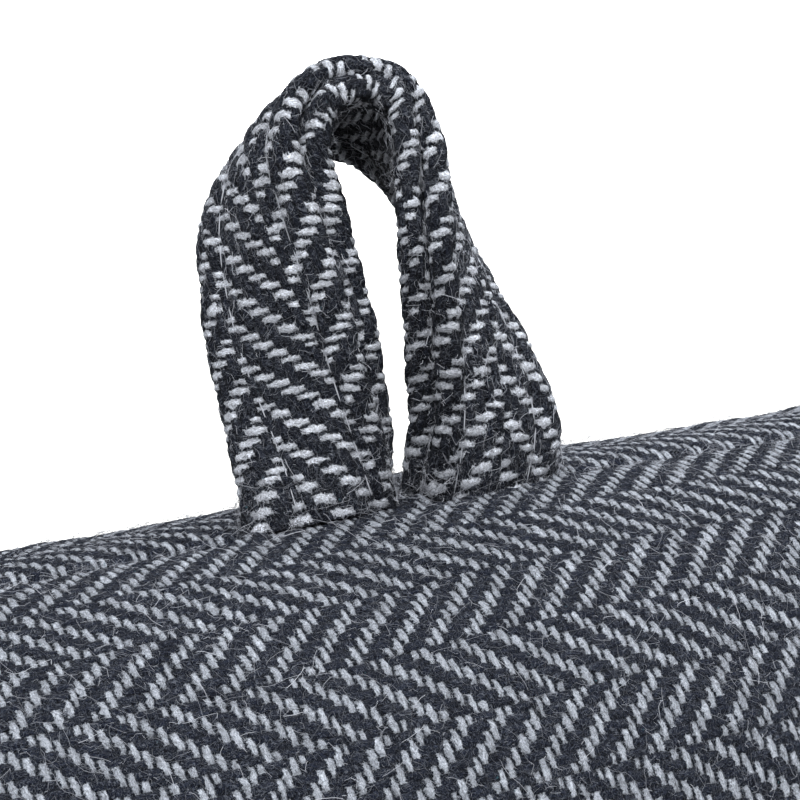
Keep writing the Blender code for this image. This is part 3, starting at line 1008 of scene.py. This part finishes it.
scatter = fibre_tree()
near_pieces = {"left": cover_pieces[1].data, "right": cover_pieces[2].data, "loop": hanging_loop.data}
stray_pieces = []
for name, place, count, longest, bends, width, seed in (
    ("long_fibres_left", "left", 560000, 5.5, 9, 0.045, 1),
    ("long_fibres_right", "right", 560000, 5.5, 9, 0.045, 2),
    ("long_fibres_loop", "loop", 620000, 5.0, 9, 0.045, 3),
    ("short_fibres_left", "left", 900000, 1.9, 6, 0.04, 4),
    ("short_fibres_right", "right", 900000, 1.9, 6, 0.04, 5),
    ("short_fibres_loop", "loop", 1600000, 1.9, 6, 0.04, 6),
):
    values = {"Count per square metre": float(count), "Longest": longest * MM, "Seed": seed}
    values.update({"Bends": bends, "Width": width * MM, "Finish": loose_wool})
    stray_pieces.append(grown(name, near_pieces[place], scatter, values))

# %% [markdown]
# ## Topstitching and seam threads
#
# Two rows of stitches run along the strip on each face, one near the open edge and one near
# the fold. The thread is thin, pale grey and half sunk in the wool, so it shows in dashes.
# Each row is a line on the strip, and geometry nodes lay one short thread, thickest in its
# middle, after another along it.

# %% Stitch rows
def thread_material(name, colour_hex):
    material = bpy.data.materials.new(name)
    material.use_nodes = True
    shader = material.node_tree.nodes["Principled BSDF"]
    shader.inputs["Base Color"].default_value = linear(colour_hex)
    shader.inputs["Roughness"].default_value = 0.6
    return material


sewing_thread = thread_material("pale grey sewing thread", "#A9ADB6")


def stitch_tree():
    tree = bpy.data.node_groups.new("stitches along a line", "GeometryNodeTree")
    tree.interface.new_socket("Geometry", in_out="INPUT", socket_type="NodeSocketGeometry")
    tree.interface.new_socket("Stitch", in_out="INPUT", socket_type="NodeSocketFloat")
    tree.interface.new_socket("Thread", in_out="INPUT", socket_type="NodeSocketFloat")
    tree.interface.new_socket("Finish", in_out="INPUT", socket_type="NodeSocketMaterial")
    tree.interface.new_socket("Geometry", in_out="OUTPUT", socket_type="NodeSocketGeometry")
    given = add(tree, "NodeGroupInput")
    line = add(tree, "GeometryNodeMeshToCurve", {0: given.outputs[0]}).outputs[0]
    line = add(
        tree,
        "GeometryNodeResampleCurve",
        {"Curve": line, "Length": given.outputs[1]},
        mode="LENGTH",
    ).outputs[0]
    tangent = add(tree, "GeometryNodeInputTangent").outputs[0]
    along = add(tree, "FunctionNodeAlignRotationToVector", {"Vector": tangent}, axis="X").outputs[0]
    stitch = add(
        tree,
        "GeometryNodeCurvePrimitiveLine",
        {"Start": (-0.5, 0, 0), "End": (0.5, 0, 0)},
    ).outputs[0]
    stitch = add(tree, "GeometryNodeResampleCurve", {"Curve": stitch, "Count": 7}).outputs[0]
    part = add(tree, "GeometryNodeSplineParameter").outputs[0]
    part = add(tree, "ShaderNodeMath", {0: part, 1: math.pi}, operation="MULTIPLY").outputs[0]
    arch = add(tree, "ShaderNodeMath", {0: part}, operation="SINE").outputs[0]
    thick = add(tree, "ShaderNodeMath", {0: arch, 1: 0.5}, operation="POWER").outputs[0]
    thick = add(tree, "ShaderNodeMath", {0: thick, 1: 0.9, 2: 0.1}, operation="MULTIPLY_ADD").outputs[0]
    profile = add(tree, "GeometryNodeCurvePrimitiveCircle", {"Resolution": 6, "Radius": 0.05}).outputs[0]
    made = add(
        tree,
        "GeometryNodeCurveToMesh",
        {"Curve": stitch, "Profile Curve": profile, "Scale": thick, "Fill Caps": True},
    ).outputs[0]
    size = add(tree, "ShaderNodeMath", {0: given.outputs[1], 1: 0.78}, operation="MULTIPLY").outputs[0]
    fat = add(tree, "ShaderNodeMath", {0: given.outputs[2], 1: 10.0}, operation="MULTIPLY").outputs[0]
    scale = add(tree, "ShaderNodeCombineXYZ", {0: size, 1: fat, 2: fat}).outputs[0]
    placed = add(
        tree,
        "GeometryNodeInstanceOnPoints",
        {"Points": line, "Instance": made, "Rotation": along, "Scale": scale},
    ).outputs[0]
    real = add(tree, "GeometryNodeRealizeInstances", {0: placed}).outputs[0]
    done = add(
        tree,
        "GeometryNodeSetMaterial",
        {"Geometry": real, "Material": given.outputs[3]},
    ).outputs[0]
    add(tree, "NodeGroupOutput", {0: done})
    return tree


def stitch_lines(stations):
    """Lines on the strip: front and rear rows on the outer and inner faces."""
    route = smooth_route(LOOP_ROWS, stations) * MM
    fronts, rears, insets = route[:, :3], route[:, 3:6], route[:, 6]
    ways = unit(np.gradient((fronts + rears) / 2, axis=0))
    wides = unit(rears - fronts)
    thicks = unit(np.cross(wides, ways))
    lines = []
    for index, lift in ((8, 0.33), (12, 0.33), (20, -0.33), (24, -0.33)):
        line = []
        for front, rear, wide, thick, inset in zip(fronts, rears, wides, thicks, insets):
            depth, height = tape_outline(np.linalg.norm(rear - front), inset)[index]
            line.append(front + depth * wide + (height + lift * MM) * thick)
        lines.append(np.array(line) @ loop_axes() + [0.0, 0.0, FOOT_HEIGHT])
    return lines


rows = stitch_lines(160)
points = np.concatenate([row[3:-3] for row in rows])
count = len(rows[0]) - 6
edges = [(r * count + i, r * count + i + 1) for r in range(len(rows)) for i in range(count - 1)]
path = bpy.data.meshes.new("stitch lines")
path.from_pydata(points.tolist(), edges, [])
topstitching = grown(
    "topstitching",
    path,
    stitch_tree(),
    {"Stitch": 4.2 * MM, "Thread": 0.17 * MM, "Finish": sewing_thread},
)
stray_pieces.append(topstitching)

# %% [markdown]
# ## The stage
#
# The photograph is a product picture on white: a pale floor that the light bleaches out,
# and soft light from above and from the left. Large area lamps stand in for softboxes.
# The camera looks down by 15 degrees with a long lens, from the tube's left front.

# %% Floor, light and camera
floor_mesh = bpy.data.meshes.new("floor")
reach = 6.0
sides = ((-reach, -reach), (reach, -reach), (reach, reach), (-reach, reach))
floor_mesh.from_pydata([(x, y, -0.5 * MM) for x, y in sides], [], [(0, 1, 2, 3)])
floor = bpy.data.objects.new("floor", floor_mesh)
bpy.context.scene.collection.objects.link(floor)
paper = bpy.data.materials.new("matt white background paper")
paper.use_nodes = True
paper.node_tree.nodes["Principled BSDF"].inputs["Base Color"].default_value = linear("#D0D0CE")
paper.node_tree.nodes["Principled BSDF"].inputs["Roughness"].default_value = 0.9
floor_mesh.materials.append(paper)
floor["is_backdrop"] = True

world = bpy.data.worlds.new("studio")
world.use_nodes = True
world.node_tree.nodes["Background"].inputs["Color"].default_value = linear("#FFFFFF")
world.node_tree.nodes["Background"].inputs["Strength"].default_value = 0.24
bpy.context.scene.world = world

for name, place, target, size, watts, beam in (
    ("softbox over the left", (-0.45, -0.80, 1.35), (0.0, 0.0, 0.1), 0.6, 34.0, 180),
    ("softbox over the right", (0.9, -0.1, 1.1), (0.0, 0.0, 0.1), 0.6, 13.0, 180),
    ("wash on the background", (0.75, 1.6, 1.9), (0.75, 1.6, 0.0), 1.6, 130.0, 75),
):
    lamp = bpy.data.lights.new(name, "AREA")
    lamp.size = size
    lamp.energy = watts
    lamp.spread = math.radians(beam)
    holder = bpy.data.objects.new(name, lamp)
    holder.location = place
    aim = Matrix.Translation(target).translation - Matrix.Translation(place).translation
    holder.rotation_euler = aim.to_track_quat("-Z", "Y").to_euler()
    bpy.context.scene.collection.objects.link(holder)

CAMERA_TURN = math.radians(28)
CAMERA_DOWN = math.radians(15)
CAMERA_ROLL = math.radians(-1.6)
CAMERA_PLACE = (-142.2 * MM, -267.4 * MM, 202.3 * MM)
to_right = np.array([math.cos(CAMERA_TURN), -math.sin(CAMERA_TURN), 0.0])
level_look = np.array([math.sin(CAMERA_TURN), math.cos(CAMERA_TURN), 0.0])
look = math.cos(CAMERA_DOWN) * level_look + [0.0, 0.0, -math.sin(CAMERA_DOWN)]
up = np.cross(to_right, look)
rolled_right = math.cos(CAMERA_ROLL) * to_right + math.sin(CAMERA_ROLL) * up
rolled_up = math.cos(CAMERA_ROLL) * up - math.sin(CAMERA_ROLL) * to_right
lens = bpy.data.cameras.new("camera")
lens.sensor_width = 36
lens.lens = 108
lens.clip_start = 0.01
camera = bpy.data.objects.new("camera", lens)
pose = Matrix([[*rolled_right, 0], [*rolled_up, 0], [*(-look), 0], [0, 0, 0, 1]]).transposed()
pose.translation = CAMERA_PLACE
camera.matrix_world = pose
bpy.context.scene.collection.objects.link(camera)
bpy.context.scene.camera = camera
bpy.context.scene.view_settings.view_transform = "Standard"

# %% [markdown]
# ## What each piece stands for
#
# The four lengths of the cover are filled cloth and take the place of the solid cover. The
# folded strip takes the place of the solid loop. Fibres and stitches are added to them and
# stand for nothing in the model. All of it goes wherever the part goes.

# %% Say what each piece is, and finish
for piece in cover_pieces:
    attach(piece, "root")
    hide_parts("cover")
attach(hanging_loop, "root")
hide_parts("hanging_loop")
for piece in stray_pieces:
    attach(piece, "root")
print(len(cover_pieces), "lengths of cover, the strip and", len(stray_pieces), "pieces of fibre and thread")

low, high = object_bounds()
